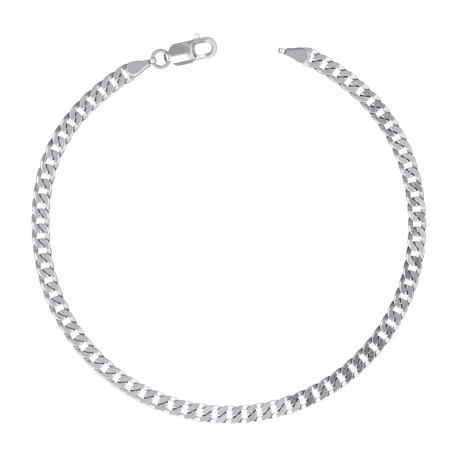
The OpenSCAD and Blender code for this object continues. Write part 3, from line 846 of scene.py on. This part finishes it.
# Lever: its remeshed cells and smoothing, and in the clasp's own frame its thumb tab and its
# gate, and how their tops fall.
lever = {
    "cell": 0.03, "rounds": 2,
    "tab": (4.69, 5.85), "tabTop": 2.93, "tabFrom": 1.9,  # sides, far edge and foot of the tab
    "gate": -0.69, "gateEdge": -1.42, "gateTip": 5.95,  # inner edge, outer rim and tip of the gate
    "tabRim": 0.11, "tipRim": 0.06,  # widths of the rims painted with shade
    "fall": 0.1, "tabLong": 1.0, "gateLong": 0.7,  # slope of both tops, and over what length
    "upper": 0.8,  # least height of a face that counts as the top
}


# Lever: the tops of its gate and of its tab slope down towards the clasp's belly.
def shapeLever(mesh):
    e = lever
    where, facing = claspFrame(mesh)
    y = where[:, 1]
    drop = np.where(y > 0, np.clip(e["tabTop"] - y, 0, e["tabLong"]),
                    np.clip(e["gate"] - y, 0, e["gateLong"]))
    where[:, 2] -= e["fall"] * drop * np.clip(facing[:, 2], 0, 1)
    setClaspFrame(mesh, where)


# Finish of each face of a piece, as a number that a rule gives for its middle and its normal.
def finishFaces(mesh, rule):
    where, facing = claspFrame(mesh)
    corners = np.empty(len(mesh.loops), int)
    mesh.loops.foreach_get("vertex_index", corners)
    first = np.empty(len(mesh.polygons), int)
    mesh.polygons.foreach_get("loop_start", first)
    a, b = corners[first], corners[first + 2]
    finish = rule((where[a] + where[b]) / 2, (facing[a] + facing[b]) / 2)
    mesh.polygons.foreach_set("material_index", finish.astype(int))
    mesh.update()


# Finishes of the clasp, and where the painted shade and the painted highlight lie on the body.
bodyMetals = ["polished_silver", "shaded_silver", "highlight_silver", "rim_shade_silver"]
leverMetals = ["polished_silver", "rim_shade_silver"]
zones = {
    "crescent": (-0.1, 0.6), "steep": (0.93, 0.985), "bellyHalf": -0.6,  # bevel round the mouth
    "lip": 0.3, "lipFrom": 0.5, "lipPast": 0.7,  # the opening's edge beside the spine
    "belly": -1.2, "bellyLean": -0.3,  # start of the belly's side, and most +Y in its normal
    "spine": 0.25, "spineLean": 0.35,  # width of the spine's edge, and least +Y in its normal
    "back": -0.42,  # end of the body towards the ring
    "heelX": (-0.3, 0.08), "heelY": (-1.5, -0.4),  # where the mouth's bevel meets the belly
    "bandX": (6.2, 7.6), "band": (1.58, 1.28), "bandOut": 1.82, "bandFrom": 0.1,  # the hook's edge
    "upper": 0.9, "up": 0.12,  # least height and least upright part of the normal
}


# Body's finish: painted shade on the lip, the belly, the back and the spine, a lighter painted
# shade on the mouth's bevel and the heel, and a painted highlight on a band round the hook's outer edge.
def bodyRule(p, n):
    c, q = clasp, zones
    x, y, z = p.T
    high = y - c["middle"]
    gap = mouthGap(x, y)
    bevelled = n[:, 2] < np.where(high < q["bellyHalf"], q["steep"][1], q["steep"][0])
    crescent = between(gap, q["crescent"]) & bevelled & (x < c["mouth"] + cuts["reach"])
    lip = ((gap < q["lip"]) & (n[:, 2] < q["steep"][0]) & (high > q["lipFrom"])
           & (x < c["hook"] + q["lipPast"]))
    belly = (n[:, 1] < q["bellyLean"]) & (y < q["belly"]) & (x < c["mouth"])
    spine = (n[:, 1] > q["spineLean"]) & (y > c["spine"] - q["spine"]) & (x < c["mouth"])
    heel = between(x - c["mouth"], q["heelX"]) & between(y, q["heelY"])
    ring = np.hypot(np.maximum(x - c["hook"], 0), high)
    band = (ring > np.interp(x, q["bandX"], q["band"])) & (ring < q["bandOut"])
    band &= x > c["mouth"] + q["bandFrom"]
    upper = z > q["upper"]
    seen = upper & (n[:, 2] > q["up"])
    shaded = (lip | belly | (x < q["back"]) | spine) & seen
    number = bodyMetals.index
    return np.select([shaded, (crescent | heel) & seen, band & upper],
                     [number("shaded_silver"), number("rim_shade_silver"), number("highlight_silver")], 0)


# Lever's finish: a rim of painted shade round the tab and along the gate's outer edge and tip.
def leverRule(p, n):
    e = lever
    x, y, z = p.T
    inside = between(x, (e["tab"][0] + e["tabRim"], e["tab"][1] - e["tabRim"]))
    tab = (y > e["tabFrom"]) & (~inside | (y > e["tabTop"] - e["tabRim"]))
    gate = (y < e["gateEdge"]) | ((y < 0) & (x > e["gateTip"] - e["tipRim"]))
    return np.where((tab | gate) & (z > e["upper"]), leverMetals.index("rim_shade_silver"), 0)


# Signed volume of a piece in cubic millimetres, positive where its faces point outwards.
def signedVolume(piece):
    mesh = bmesh.new()
    mesh.from_mesh(piece.data)
    volume = mesh.calc_volume(signed=True)
    mesh.free()
    return volume / mm ** 3


colour = bpy.context.scene.view_settings
colour.view_transform = "Standard"
colour.look = "None"
makeCamera()
makeSky()
makeFloor()
metals = {name: makeSilver(name, *values) for name, values in silver.items()}
print("silver made:", len(metals), "finishes")

firstHalf = makeLinks("links_first_half", 1, chain["half"])
secondHalf = makeLinks("links_second_half", chain["half"] + 1, chain["count"] - 2)
freeTag, claspTag = [makeTag(name) for name in tagPlaces]
ringWire = makeJumpRing()
print("chain, tags and ring made")

body = castPiece("clasp_casting", "clasp_body", cuts["cell"], cuts["rounds"], bodyMetals)
shapeBody(body.data)
finishFaces(body.data, bodyRule)
gate = castPiece("lever_casting", "clasp_lever", lever["cell"], lever["rounds"], leverMetals)
shapeLever(gate.data)
finishFaces(gate.data, leverRule)
print("clasp made")

# Each piece with the node that it stands for, its body and its finish.
dressed = [
    (firstHalf, "chain_first_half", "bracelet", "chain_metal"),
    (secondHalf, "chain_second_half", "bracelet", "chain_metal"),
    (freeTag, "free_end_tag", "bracelet", "tag_metal"),
    (claspTag, "clasp_end_tag", "bracelet", "tag_metal"),
    (ringWire, "jump_ring", "bracelet", "clasp_metal"),
    (body, "clasp_body", "bracelet", "clasp_metal"),
    (gate, "clasp_lever", "lever", "clasp_metal"),
]
for piece, node, rides, finish in dressed:
    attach(piece, rides)
    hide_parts(node)
    print(piece.name, "volume", round(signedVolume(piece), 2), "faces", len(piece.data.polygons))

# The rivet is hidden in the body and keeps its solid.
for slot in nodes["clasp_rivet"].material_slots:
    slot.material = metals["polished_silver"]
